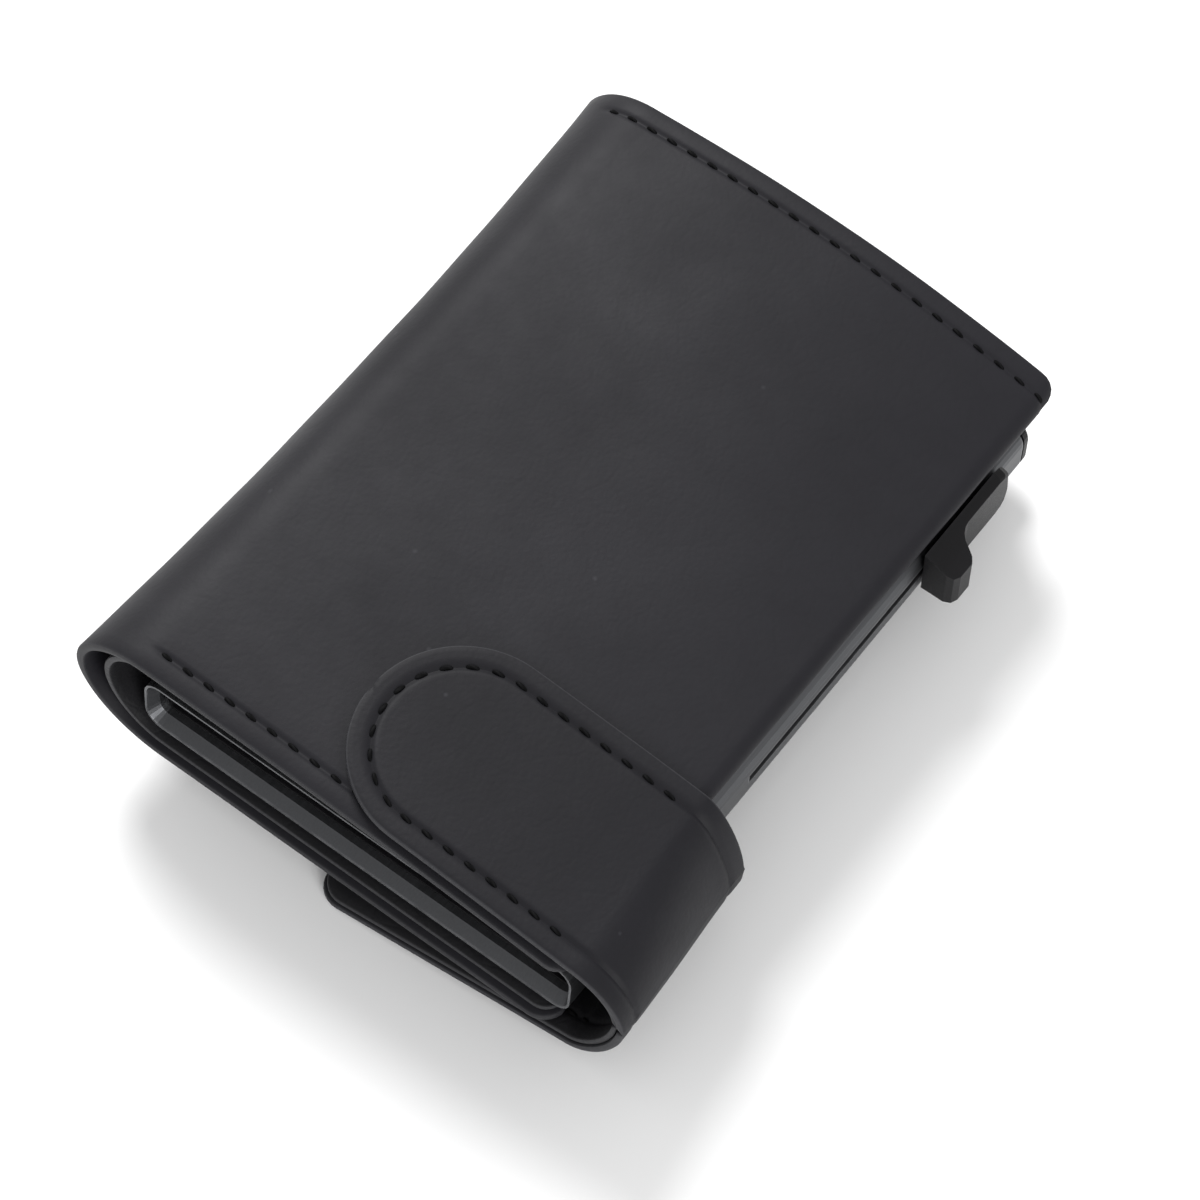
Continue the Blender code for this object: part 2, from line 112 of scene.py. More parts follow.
def makeGrainGroup():
    # fine pebbled grain with soft creases: a height and a mask of the deep parts
    g, given, result = newGroup("leatherGrain", {"Scale": 900.0, "Crease": 0.35}, ("Height", "Pits"))
    space = {"in_Vector": given["Vector"]}
    pebble = addNode(
        g, "ShaderNodeTexVoronoi", (-500, 200), "pebbles", feature="SMOOTH_F1",
        in_Scale=given["Scale"], in_Smoothness=0.6, in_Randomness=0.95, **space
    )
    fine = addNode(
        g, "ShaderNodeTexNoise", (-500, -80), "fine grain",
        in_Scale=given["Scale"], in_Detail=5.0, in_Roughness=0.62, **space
    )
    broad = calc(g, (-700, -320), "MULTIPLY", given["Scale"], 0.16, label="crease scale")
    crease = addNode(
        g, "ShaderNodeTexVoronoi", (-500, -380), "creases", feature="DISTANCE_TO_EDGE",
        in_Scale=broad, in_Randomness=1.0, **space
    )
    soft = remap(
        g, (-280, -380), crease.outputs["Distance"], (0.0, 0.09), (1.0, 0.0), "crease width",
        interpolation_type="SMOOTHSTEP"
    )
    pebbled = calc(g, (-250, 120), "MULTIPLY_ADD", pebble.outputs["Distance"], -0.55, fine.outputs[0])
    lines = calc(g, (-60, -300), "MULTIPLY", soft, given["Crease"])
    g.links.new(calc(g, (140, 60), "SUBTRACT", pebbled, lines), result["Height"])
    g.links.new(soft, result["Pits"])
    return g


def makeMottleGroup():
    # slow colour changes from handling, and a few tiny pale specks of wax
    g, given, result = newGroup("handlingMottle", {"Scale": 45.0, "Specks": 0.5}, ("Mottle", "Specks"))
    space = {"in_Vector": given["Vector"]}
    broad = addNode(
        g, "ShaderNodeTexNoise", (-600, 200), "patches",
        in_Scale=given["Scale"], in_Detail=3.0, in_Roughness=0.5, in_Distortion=0.4, **space
    )
    smearScale = calc(g, (-760, -60), "MULTIPLY", given["Scale"], 6.5)
    fine = addNode(
        g, "ShaderNodeTexNoise", (-600, -60), "smears",
        in_Scale=smearScale, in_Detail=4.0, in_Roughness=0.65, **space
    )
    dotScale = calc(g, (-760, -320), "MULTIPLY", given["Scale"], 7.0)
    dots = addNode(
        g, "ShaderNodeTexVoronoi", (-600, -320), "specks", in_Scale=dotScale, in_Randomness=1.0, **space
    )
    both = addNode(
        g, "ShaderNodeMix", (-350, 120), "", data_type="FLOAT",
        in_0=0.3, in_2=broad.outputs[0], in_3=fine.outputs[0]
    )
    g.links.new(remap(g, (-150, 120), both.outputs[0], (0.34, 0.68), (0.0, 1.0)), result["Mottle"])
    small = remap(g, (-350, -320), dots.outputs["Distance"], (0.03, 0.09), (1.0, 0.0), "speck size")
    parts = addNode(g, "ShaderNodeSeparateColor", (-480, -520), in_0=dots.outputs["Color"])
    few = calc(g, (-350, -520), "GREATER_THAN", parts.outputs[0], 0.90, label="only some cells")
    shown = calc(g, (-120, -380), "MULTIPLY", small, few)
    g.links.new(calc(g, (80, -300), "MULTIPLY", shown, given["Specks"]), result["Specks"])
    return g


def makeWearGroup():
    # bright where an edge is rounded off: the softened normal leaves the true one
    numbers = {"Radius": 0.0006, "Break Up": 600.0, "Amount": 1.0}
    g, given, result = newGroup("edgeWear", numbers, ("Wear",))
    rounded = addNode(g, "ShaderNodeBevel", (-550, 160), "rounded", samples=4, in_Radius=given["Radius"])
    sharp = addNode(g, "ShaderNodeNewGeometry", (-550, -40))
    turn = addNode(
        g, "ShaderNodeVectorMath", (-320, 100), "", operation="DOT_PRODUCT",
        in_0=rounded.outputs[0], in_1=sharp.outputs["Normal"]
    )
    rim = remap(g, (-130, 100), turn.outputs["Value"], (0.995, 0.86), (0.0, 1.0))
    noise = addNode(
        g, "ShaderNodeTexNoise", (-320, -220), "break up",
        in_Vector=given["Vector"], in_Scale=given["Break Up"], in_Detail=4.0
    )
    patchy = remap(g, (-130, -220), noise.outputs[0], (0.38, 0.6), (0.25, 1.0))
    worn = calc(g, (80, 0), "MULTIPLY", rim, patchy)
    g.links.new(calc(g, (280, 0), "MULTIPLY", worn, given["Amount"], use_clamp=True), result["Wear"])
    return g


def makeBrushGroup():
    # long fine scratches along one axis
    g, given, result = newGroup("brushedLines", {"Across": 5200.0, "Along": 60.0}, ("Lines",))
    scale = addNode(
        g, "ShaderNodeCombineXYZ", (-600, -120),
        in_0=given["Across"], in_1=given["Along"], in_2=given["Across"]
    )
    stretched = addNode(
        g, "ShaderNodeVectorMath", (-420, 0), "", operation="MULTIPLY",
        in_0=given["Vector"], in_1=scale.outputs[0]
    )
    noise = addNode(
        g, "ShaderNodeTexNoise", (-200, 0), "scratches",
        in_Vector=stretched.outputs[0], in_Scale=1.0, in_Detail=3.0, in_Roughness=0.7
    )
    g.links.new(noise.outputs[0], result["Lines"])
    return g


grain, mottle, wear, brushed = makeGrainGroup(), makeMottleGroup(), makeWearGroup(), makeBrushGroup()
print("node groups ready")


def startMaterial(name, place="UV"):
    made = bpy.data.materials.new(name)
    made.use_nodes = True
    tree = made.node_tree
    shader = tree.nodes["Principled BSDF"]
    shader.location = (700, 100)
    tree.nodes["Material Output"].location = (1000, 100)
    where = addNode(tree, "ShaderNodeTexCoord", (-1100, 0))
    return made, tree, shader, where.outputs[place]


def useGroup(tree, group, place, vector, **values):
    numbers = {"in_" + key: value for key, value in values.items()}
    return addNode(
        tree, "ShaderNodeGroup", place, group.name, node_tree=group, in_Vector=vector, **numbers
    ).outputs


def addBump(tree, shader, height, label, strength, distance):
    bump = addNode(
        tree, "ShaderNodeBump", (400, -200), label,
        in_Height=height, in_Strength=strength, in_Distance=distance
    )
    tree.links.new(bump.outputs[0], shader.inputs["Normal"])


def leatherMaterial(name, look):
    # the UV map is the flat cut, so the grain stays put when the leather bends
    made, tree, shader, vector = startMaterial(name)
    pebbles = useGroup(tree, grain, (-700, -250), vector, Scale=look["grain"], Crease=look["crease"])
    patches = useGroup(tree, mottle, (-700, 250), vector, Scale=look["patches"], Specks=look["specks"])
    tone = mixColours(tree, (-350, 300), patches["Mottle"], look["dark"], look["light"], "handled colour")
    tone = mixColours(tree, (-150, 300), patches["Specks"], tone, look["speck"], "wax specks")
    # painted shade: the colour is darkened along the grain's sunk creases, where shade would fall
    deep = calc(tree, (-150, 80), "MULTIPLY", pebbles["Pits"], look["crease"] * 0.5)
    creaseShadeColour = [c * 0.72 for c in look["dark"]]
    tone = mixColours(tree, (50, 300), deep, tone, creaseShadeColour, "dye in the creases")
    rim = addNode(tree, "ShaderNodeAttribute", (-350, 560), "cut edge", attribute_name="rimMask")
    fibres = addNode(
        tree, "ShaderNodeTexNoise", (-700, 560), "fibres", in_Vector=vector, in_Scale=1600.0, in_Detail=3.0
    )
    patchy = remap(tree, (-350, 760), fibres.outputs[0], (0.3, 0.7), (0.7, 1.1))
    share = calc(tree, (-150, 560), "MULTIPLY", rim.outputs["Fac"], patchy, use_clamp=True)
    tone = mixColours(tree, (260, 340), share, tone, look["edge"], "burnished edge")
    tree.links.new(tone, shader.inputs["Base Color"])
    waxy = (look["rough"] + 0.05, look["rough"] - 0.05)
    gloss = remap(tree, (50, 0), patches["Mottle"], (0.0, 1.0), waxy, "waxy gloss")
    tree.links.new(gloss, shader.inputs["Roughness"])
    addBump(tree, shader, pebbles["Height"], "grain", look["bump"], 0.0001)
    shader.inputs["Specular IOR Level"].default_value = look["shine"]
    return made


coverLook = {
    "dark": (0.0094, 0.0090, 0.0116),
    "light": (0.0130, 0.0126, 0.0158),
    "speck": (0.050, 0.050, 0.057),
    "edge": (0.026, 0.026, 0.029),
    "grain": 1500.0,
    "crease": 0.16,
    "patches": 30.0,
    "specks": 0.35,
    "rough": 0.56,
    "bump": 0.20,
    "shine": 0.18,
}
strapLook = dict(
    coverLook,
    dark=(0.0078, 0.0075, 0.0096),
    light=(0.0104, 0.0101, 0.0128),
    edge=(0.036, 0.036, 0.040),
    patches=38.0,
    bump=0.24,
)
liningLook = {
    "dark": (0.0085, 0.0083, 0.0096),
    "light": (0.0120, 0.0118, 0.0135),
    "speck": (0.035, 0.035, 0.04),
    "edge": (0.036, 0.036, 0.039),
    "grain": 1900.0,
    "crease": 0.45,
    "patches": 40.0,
    "specks": 0.15,
    "rough": 0.60,
    "bump": 0.42,
    "shine": 0.2,
}
threadLook = {
    "dark": (0.0010, 0.0010, 0.0012),
    "light": (0.0035, 0.0035, 0.0040),
    "rough": 0.72,
    "shine": 0.1,
    "twist": 2600.0,
}


def threadMaterial(name, look):
    made, tree, shader, vector = startMaterial(name)
    turns = addNode(
        tree, "ShaderNodeTexWave", (-700, 0), "twisted plies", wave_type="BANDS", bands_direction="DIAGONAL",
        in_Vector=vector, in_Scale=look["twist"] / 6.0, in_Distortion=0.6, in_Detail=1.0
    )
    plies = turns.outputs["Fac"]
    tone = mixColours(tree, (-300, 200), plies, look["dark"], look["light"])
    tree.links.new(tone, shader.inputs["Base Color"])
    rough = remap(tree, (-300, -60), plies, (0.0, 1.0), (look["rough"] + 0.1, look["rough"]), "waxed")
    tree.links.new(rough, shader.inputs["Roughness"])
    addBump(tree, shader, plies, "plies", 0.6, 0.0001)
    shader.inputs["Specular IOR Level"].default_value = look["shine"]
    return made


def metalMaterial(name, look):
    made, tree, shader, vector = startMaterial(name, "Object")
    lines = useGroup(tree, brushed, (-700, 200), vector, Across=look["across"], Along=look["along"])["Lines"]
    patches = useGroup(tree, mottle, (-700, -50), vector, Scale=70.0, Specks=0.0)
    worn = useGroup(
        tree, wear, (-700, -300), vector, Radius=look["radius"], Break_Up=500.0, Amount=look["wear"]
    )
    tone = mixColours(tree, (-300, 250), lines, look["dark"], look["light"])
    tone = mixColours(tree, (0, 250), worn["Wear"], tone, look["bare"], "rubbed bright")
    tree.links.new(tone, shader.inputs["Base Color"])
    satin = (look["rough"] - 0.06, look["rough"] + 0.08)
    rough = remap(tree, (-300, 0), lines, (0.25, 0.75), satin, "satin")
    smudge = calc(tree, (0, 0), "MULTIPLY_ADD", patches["Mottle"], 0.06, rough, label="finger marks")
    tree.links.new(smudge, shader.inputs["Roughness"])
    addBump(tree, shader, lines, "scratches", look["bump"], 0.00003)
    shader.inputs["Metallic"].default_value = 1.0
    return made


def plasticMaterial(name, look):
    made, tree, shader, vector = startMaterial(name, "Object")
    patches = useGroup(tree, mottle, (-700, 250), vector, Scale=120.0, Specks=0.12)
    worn = useGroup(
        tree, wear, (-700, -300), vector, Radius=look["radius"], Break_Up=900.0, Amount=look["wear"]
    )
    spark = addNode(
        tree, "ShaderNodeTexNoise", (-700, 0), "spark-eroded texture",
        in_Vector=vector, in_Scale=look["texture"], in_Detail=3.0, in_Roughness=0.7
    ).outputs[0]
    tone = mixColours(tree, (-300, 250), patches["Mottle"], look["dark"], look["light"])
    tone = mixColours(tree, (0, 250), worn["Wear"], tone, look["rubbed"], "rubbed edges")
    tree.links.new(tone, shader.inputs["Base Color"])
    rough = remap(tree, (-300, 0), spark, (0.3, 0.7), (look["rough"] - 0.05, look["rough"] + 0.07))
    tree.links.new(rough, shader.inputs["Roughness"])
    addBump(tree, shader, spark, "texture", 0.35, 0.00004)
    shader.inputs["Specular IOR Level"].default_value = look["shine"]
    return made


def feltMaterial(name, look):
    made, tree, shader, vector = startMaterial(name, "Object")
    fibres = addNode(
        tree, "ShaderNodeTexNoise", (-700, 200), "fibres",
        in_Vector=vector, in_Scale=look["fibre"], in_Detail=6.0, in_Roughness=0.75, in_Distortion=2.5
    ).outputs[0]
    clumps = addNode(
        tree, "ShaderNodeTexVoronoi", (-700, -100), "clumps",
        in_Vector=vector, in_Scale=look["fibre"] * 0.4, in_Randomness=1.0
    )
    ramp = addNode(tree, "ShaderNodeValToRGB", (-400, 200), in_0=fibres)
    for element, place, colour in zip(ramp.color_ramp.elements, (0.3, 0.7), (look["dark"], look["light"])):
        element.position = place
        element.color = (*colour, 1.0)
    tree.links.new(ramp.outputs[0], shader.inputs["Base Color"])
    nap = calc(tree, (-300, -100), "SUBTRACT", fibres, clumps.outputs["Distance"])
    addBump(tree, shader, nap, "nap", 0.8, 0.00015)
    rough = remap(tree, (-100, 0), fibres, (0.2, 0.8), (0.88, 1.0))
    tree.links.new(rough, shader.inputs["Roughness"])
    shader.inputs["Sheen Weight"].default_value = 0.25
    return made


caseLook = {
    "dark": (0.072, 0.074, 0.078),
    "light": (0.118, 0.120, 0.127),
    "bare": (0.24, 0.244, 0.254),
    "rough": 0.44,
    "bump": 0.25,
    "across": 5200.0,
    "along": 60.0,
    "radius": 0.0005,
    "wear": 0.9,
}
studLook = dict(
    caseLook,
    dark=(0.12, 0.12, 0.125),
    light=(0.20, 0.20, 0.21),
    bare=(0.45, 0.45, 0.46),
    rough=0.28,
    across=900.0,
    along=900.0,
    radius=0.0003,
)
plasticLook = {
    "dark": (0.0032, 0.0030, 0.0038),
    "light": (0.0048, 0.0045, 0.0055),
    "rubbed": (0.012, 0.0115, 0.013),
    "texture": 5200.0,
    "rough": 0.46,
    "shine": 0.22,
    "radius": 0.0004,
    "wear": 0.7,
}
feltLook = {"dark": (0.035, 0.035, 0.038), "light": (0.085, 0.085, 0.09), "fibre": 3800.0}

coverLeather = leatherMaterial("waxedCoverLeather", coverLook)
strapLeather = leatherMaterial("waxedStrapLeather", strapLook)
liningLeather = leatherMaterial("matteLiningLeather", liningLook)
blackThread = threadMaterial("blackWaxedThread", threadLook)
caseMetal = metalMaterial("brushedGreyAluminium", caseLook)
studMetal = metalMaterial("gunmetalStud", studLook)
blackPlastic = plasticMaterial("blackMouldedPlastic", plasticLook)
greyFelt = feltMaterial("greyFelt", feltLook)
print("materials ready")


def pathOf(points):
    # a profile in x and z as a function of the length along it
    points = np.asarray(points, float)
    lengths = np.concatenate([[0.0], np.cumsum(np.linalg.norm(np.diff(points, axis=0), axis=1))])

    def at(s):
        return np.interp(s, lengths, points[:, 0]), np.interp(s, lengths, points[:, 1])

    return at, float(lengths[-1])


def ellipseArc(centre, radii, start, end, steps=60):
    angles = np.radians(np.linspace(start, end, steps + 1))
    return [(centre[0] + radii[0] * math.cos(a), centre[1] + radii[1] * math.sin(a)) for a in angles]


def smooth(t):
    t = np.clip(t, 0.0, 1.0)
    return t * t * (3 - 2 * t)


def spaced(low, high, step, marks=()):
    # places from low to high, about step apart, with extra ones close round each mark
    count = max(1, round((high - low) / step))
    found = list(np.linspace(low, high, count + 1))
    for mark in marks:
        near = [mark + d for d in (-0.9, -0.6, -0.35, -0.15, 0.0, 0.15, 0.35, 0.6, 0.9)]
        found = [v for v in found if abs(v - mark) > 1.0 or v in (low, high)]
        found += [v for v in near if low < v < high]
    return sorted(found)


def rectangleCut(length, low, high, radii=(0.0, 0.0), step=1.0, cross=1.6, marks=(), rowMarks=()):
    # a flat cut from s = 0 to length and y = low to high; radii round its corners at either end
    columns = spaced(low, high, cross, marks)
    rows = set(spaced(0.0, length, step, rowMarks))
    for radius, end, sign in ((radii[0], 0.0, 1), (radii[1], length, -1)):
        if radius:
            rows = {s for s in rows if (s - end) * sign > radius}
            turns = np.radians((0, 12, 24, 36, 48, 60, 72, 82))
            rows |= {end + sign * radius * (1 - math.sin(a)) for a in turns}
            rows.add(end)
    rows = sorted(rows)
    points, faces = [], []
    middle = (low + high) / 2
    half = (high - low) / 2
    for s in rows:
        inset = 0.0
        for radius, end, sign in ((radii[0], 0.0, 1), (radii[1], length, -1)):
            near = (s - end) * sign
            if radius and near < radius:
                inset = radius - math.sqrt(max(0.0, radius**2 - (radius - near) ** 2))
        for y in columns:
            # columns near an edge keep their distance from it round the corner
            share = abs(y - middle) / half
            move = inset * smooth((share - 0.55) / 0.45)
            points.append((s, y - math.copysign(move, y - middle)))
    wide = len(columns)
    for i in range(len(rows) - 1):
        for j in range(wide - 1):
            a = i * wide + j
            faces.append((a, a + 1, a + wide + 1, a + wide))
    return np.array(points), faces


def strapCut(length, radius, step=1.0):
    # s = 0 at the tip of the round end, y from -radius to radius; closer rings carry the groove
    inward = [0.0, 0.6, 1.2, 1.8, 2.2, 2.5, 2.75, 2.95, 3.15, 3.4, 3.7, 4.2, 5.0, 6.2, 8.0, 10.0, 11.8]
    rings = [radius - d for d in inward if d < radius - 0.5]
    points, faces, known = [], [], {}

    def corner(s, y):
        key = (round(s, 4), round(y, 4))
        if key not in known:
            known[key] = len(points)
            points.append((s, y))
        return known[key]

    columns = sorted({-r for r in rings} | set(rings) | {0.0})
    turns = np.radians(np.linspace(90, 270, 61))
    for a, b in zip(turns, turns[1:]):
        for far, near in zip(rings, rings[1:]):
            quad = [(far, a), (near, a), (near, b), (far, b)]
            faces.append(tuple(corner(radius + r * math.cos(t), r * math.sin(t)) for r, t in quad))
        last = rings[-1]
        start = corner(radius + last * math.cos(a), last * math.sin(a))
        centre = corner(radius, 0.0)
        faces.append((start, centre, corner(radius + last * math.cos(b), last * math.sin(b))))
    rows = list(np.linspace(radius, length, max(2, round((length - radius) / step)) + 1))
    for s, t in zip(rows, rows[1:]):
        for y, z in zip(columns, columns[1:]):
            faces.append((corner(s, y), corner(s, z), corner(t, z), corner(t, y)))
    return np.array(points), faces


def surfaceFrame(surface, s, y, facing):
    # the point and the outward normal of the outer face
    step = 0.02
    point = surface(s, y)
    alongS = surface(s + step, y) - surface(s - step, y)
    alongY = surface(s, y + step) - surface(s, y - step)
    normal = np.cross(alongS, alongY) * facing
    normal /= np.maximum(np.linalg.norm(normal, axis=-1, keepdims=True), 1e-9)
    return point, normal


def boundaryLoop(faces):
    once = {}
    for face in faces:
        for a, b in zip(face, face[1:] + face[:1]):
            if (b, a) in once:
                del once[(b, a)]
            else:
                once[(a, b)] = True
    following = dict(once.keys())
    start = next(iter(following))
    loop = [start]
    while following[loop[-1]] != start:
        loop.append(following[loop[-1]])
    return loop


def makeSheet(
    name, cut, surface, facing, thick, look,
    bulge=0.45, groove=None, backGroove=None, seam=None, wobble=0.04, rimSteps=4
):
    # cut is the flat shape, surface bends it, the grooves sink the stitch lines, and
    # seam says where no edge is rounded
    flat, faces = cut
    s, y = flat[:, 0], flat[:, 1]
    outer, normal = surfaceFrame(surface, s, y, facing)
    slow = np.sin(0.11 * s + 0.23 * y + 0.7) * np.sin(0.17 * y - 0.07 * s)
    wave = wobble * (slow + 0.5 * np.sin(0.31 * s - 0.19 * y))
    outer = outer + normal * wave[:, None]
    inner = outer - normal * thick
    if groove is not None:
        outer = outer - normal * groove(s, y)[:, None]
    if backGroove is not None:
        inner = inner + normal * backGroove(s, y)[:, None]
    loop = boundaryLoop(faces)
    n = len(flat)
    ring = np.array(loop)
    # outward direction in the flat cut, then on the bent sheet
    ahead, behind = np.roll(ring, -1), np.roll(ring, 1)
    tangent = flat[ahead] - flat[behind]
    out = np.stack([tangent[:, 1], -tangent[:, 0]], 1)
    out /= np.maximum(np.linalg.norm(out, axis=1, keepdims=True), 1e-9)
    area = 0.5 * np.sum(flat[ring][:, 0] * flat[ahead][:, 1] - flat[ahead][:, 0] * flat[ring][:, 1])
    if area < 0:
        out = -out
    size = np.full(len(ring), bulge)
    if seam is not None:
        # the edge runs on round the sides of a seam, so both halves meet flush
        onSeam = seam(flat[ring, 0], flat[ring, 1])
        seamEnds = onSeam & ~(np.roll(onSeam, 1) & np.roll(onSeam, -1))
        out[seamEnds] = np.stack([np.zeros(seamEnds.sum()), np.sign(flat[ring[seamEnds], 1])], 1)
        size[onSeam & ~seamEnds] = 0.0
    probe = 0.3
    edge = flat[ring]
    beyond = edge + out * probe
    moved = surface(beyond[:, 0], beyond[:, 1]) - surface(edge[:, 0], edge[:, 1])
    moved -= normal[ring] * np.sum(moved * normal[ring], 1, keepdims=True)
    moved /= np.maximum(np.linalg.norm(moved, axis=1, keepdims=True), 1e-9)
    points = [outer, inner]
    uv = [flat, flat + np.array((0.0, 200.0))]
    mask = [np.zeros(n), np.zeros(n)]
    top, bottom = outer[ring], inner[ring]
    middle, half = (top + bottom) / 2, (top - bottom) / 2
    for k in range(1, rimSteps + 1):
        a = math.pi * k / (rimSteps + 1)
        points.append(middle + half * math.cos(a) + moved * (size * math.sin(a) ** 0.8)[:, None])
        uv.append(edge + out * (thick * k / (rimSteps + 1)))
        mask.append((size > 0).astype(float))
    points, uv, mask = np.concatenate(points), np.concatenate(uv), np.concatenate(mask)
    polygons = [tuple(face) for face in faces] + [tuple(i + n for i in reversed(face)) for face in faces]
    count = len(ring)
    rims = [[2 * n + k * count + i for i in range(count)] for k in range(rimSteps)]
    rings = [list(ring), *rims, list(ring + n)]
    for first, second in zip(rings, rings[1:]):
        for i in range(count):
            j = (i + 1) % count
            polygons.append((first[j], first[i], second[i], second[j]))
    return meshPiece(name, points, polygons, look, uv, mask, 40.0)


def meshPiece(name, points, polygons, look, uv=None, mask=None, sharp=40.0):
    mesh = bpy.data.meshes.new(name)
    mesh.from_pydata([tuple(p) for p in toFrame(points)], [], [tuple(int(i) for i in p) for p in polygons])
    if uv is not None:
        layer = mesh.uv_layers.new(name="flatCut")
        loops = np.zeros(len(mesh.loops), np.int32)
        mesh.loops.foreach_get("vertex_index", loops)
        layer.data.foreach_set("uv", (np.asarray(uv)[loops] / 1000.0).astype(np.float32).ravel())
    if mask is not None:
        shown = mesh.attributes.new("rimMask", "FLOAT", "POINT")
        shown.data.foreach_set("value", np.asarray(mask, np.float32))
    bm = bmesh.new()
    bm.from_mesh(mesh)
    bmesh.ops.recalc_face_normals(bm, faces=bm.faces)
    bm.to_mesh(mesh)
    bm.free()
    mesh.shade_smooth()
    mesh.set_sharp_from_angle(angle=math.radians(sharp))
    mesh.materials.append(look)
    obj = bpy.data.objects.new(name, mesh)
    scene.collection.objects.link(obj)
    return obj


stitch = {
    "pitch": 3.0,
    "length": 1.7,
    "radius": 0.22,
    "sunk": 0.12,
    "lift": 0.02,
    "dive": 0.45,
    "lean": 0.16,
}


def sewStitches(name, runs, surface, facing, spec=stitch):
    # each run is a polyline on the flat cut; every stitch is a short thread that dives in at both ends
    points, polygons, uv = [], [], []
    sides, rings = 8, 9
    for run in runs:
        run = np.asarray(run, float)
        lengths = np.concatenate([[0.0], np.cumsum(np.linalg.norm(np.diff(run, axis=0), axis=1))])
        total = lengths[-1]
        count = max(1, int((total - spec["length"]) / spec["pitch"]) + 1)
        pitch = (total - spec["length"]) / max(1, count - 1) if count > 1 else total
        for k in range(count):
            places = k * pitch + np.linspace(0.0, spec["length"], rings)
            fs, fy = np.interp(places, lengths, run[:, 0]), np.interp(places, lengths, run[:, 1])
            base, normal = surfaceFrame(surface, fs, fy, facing)
            t = np.linspace(0, 1, rings)
            arch = np.sin(math.pi * t)
            lift = -spec["sunk"] + spec["lift"] * arch**0.6 - spec["dive"] * (1 - arch**0.35)
            line = base + normal * lift[:, None]
            along = np.gradient(line, axis=0)
            along /= np.linalg.norm(along, axis=1, keepdims=True)
            side = np.cross(along, normal)
            side /= np.linalg.norm(side, axis=1, keepdims=True)
            # threads lean a little, all the same way
            lean = spec["lean"] * (t - 0.5)
            line = line + side * lean[:, None]
            up = np.cross(side, along)
            radius = spec["radius"] * (0.55 + 0.45 * arch**0.5)
            start = len(points)
            for i in range(rings):
                for j in range(sides):
                    a = 2 * math.pi * j / sides
                    oval = side[i] * math.cos(a) * 1.15 + up[i] * math.sin(a) * 0.85
                    points.append(line[i] + radius[i] * oval)
                    uv.append((places[i], k * 3.0 + j * 0.25))
            for i in range(rings - 1):
                this, following = start + i * sides, start + (i + 1) * sides
                for j in range(sides):
                    m = (j + 1) % sides
                    polygons.append((this + j, this + m, following + m, following + j))
            polygons.append(tuple(start + j for j in reversed(range(sides))))
            polygons.append(tuple(start + (rings - 1) * sides + j for j in range(sides)))
    return meshPiece(name, points, polygons, blackThread, uv, None, 60.0)


def lineGroove(marks, deep, wide, start=-1e9, end=1e9):
    # a groove along s at each of the y places, fading out at its ends
    def at(s, y):
        ends = smooth((s - start) / 2.0) * smooth((end - s) / 2.0)
        total = np.zeros_like(s)
        for place in marks:
            total += np.exp(-(((y - place) / wide) ** 2)) * ends
        return deep * total

    return at


cover = {
    "spineX": -25.15,
    "spineWide": 11.7,
    "flare": 1.7,  # the spine stands out less in its middle
    "flatFrom": -25.0,  # where the spine's round goes over into the flat
    "flatLong": 61.0,
    "bottom": 5.6,
    "top": 28.0,
    "edgeTop": 23.6,
    "bow": 0.9,
    "farBow": 1.2,  # more of it towards the far end
    "farDrop": 1.5,  # and lower at its corner
    "edgeX": 36.0,
    "backEdgeX": 34.4,
    "thick": 1.3,
    "half": 50.0,
    "bulge": 0.35,
    "roll": (1.9, 1.5),  # the opening edge is pulled over by this much
    "stitchIn": 3.0,  # from the edge in to the stitching
}
spineMiddle = (cover["top"] + cover["bottom"]) / 2
spineTall = (cover["top"] - cover["bottom"]) / 2


def frontTop(x):
    t = (x - cover["flatFrom"]) / cover["flatLong"]
    return cover["top"] + (cover["edgeTop"] - cover["top"]) * t + 4 * cover["bow"] * t * (1 - t)


def flareOf(y):
    return cover["flare"] * (1 - np.minimum(1.0, np.abs(y) / cover["half"]) ** 2.2)


def coverWarp(x, y, z, depth=1.0):
    # the spine's waist, and the front cover's extra rise towards the far end
    share = np.clip((cover["flatFrom"] - x) / 12.0, 0.0, 1.0)
    x = x + flareOf(y) * smooth(share) * depth
    t = np.clip((x - cover["flatFrom"]) / cover["flatLong"], 0.0, 1.0)
    rise = (cover["farBow"] * 4 * t * (1 - t) - cover["farDrop"] * t**3) * smooth((y + 15.0) / 65.0)
    upper = smooth((z - 18.0) / 3.0)
    return x, z + rise * upper


def warpedSurface(at, depth=1.0):
    def surface(s, y):
        s, y = np.asarray(s, float), np.asarray(y, float)
        x, z = at(s)
        x, z = coverWarp(x, y, z, depth)
        return np.stack([x, y, z], -1)

    return surface


rollX, rollZ = cover["roll"]
rollStart = cover["edgeX"] - rollX
spineCentre, spineRadii = (cover["spineX"], spineMiddle), (cover["spineWide"], spineTall)
upperProfile = ellipseArc(spineCentre, spineRadii, 180, 90)
upperProfile += [(x, float(frontTop(x))) for x in np.linspace(-24.9, rollStart, 70)]
rollCentre = (rollStart, float(frontTop(rollStart)) - rollZ)
upperProfile += ellipseArc(rollCentre, (rollX, rollZ), 88, -14, 24)
lowerProfile = ellipseArc(spineCentre, spineRadii, 180, 270)
lowerEnd = cover["backEdgeX"] - cover["bulge"]
backFlat = np.linspace(-24.9, lowerEnd, 70)
lowerProfile += [(x, cover["bottom"] + 0.12 * max(0.0, (x + 2.0) / 36.4)) for x in backFlat]
upperAt, upperLength = pathOf(upperProfile)
lowerAt, lowerLength = pathOf(lowerProfile)
upperSurface, lowerSurface = warpedSurface(upperAt), warpedSurface(lowerAt)
coverEdge = cover["half"] - cover["bulge"]
stitchY = cover["half"] - cover["stitchIn"]
spineArc = pathOf(ellipseArc(spineCentre, spineRadii, 180, 90))[1]


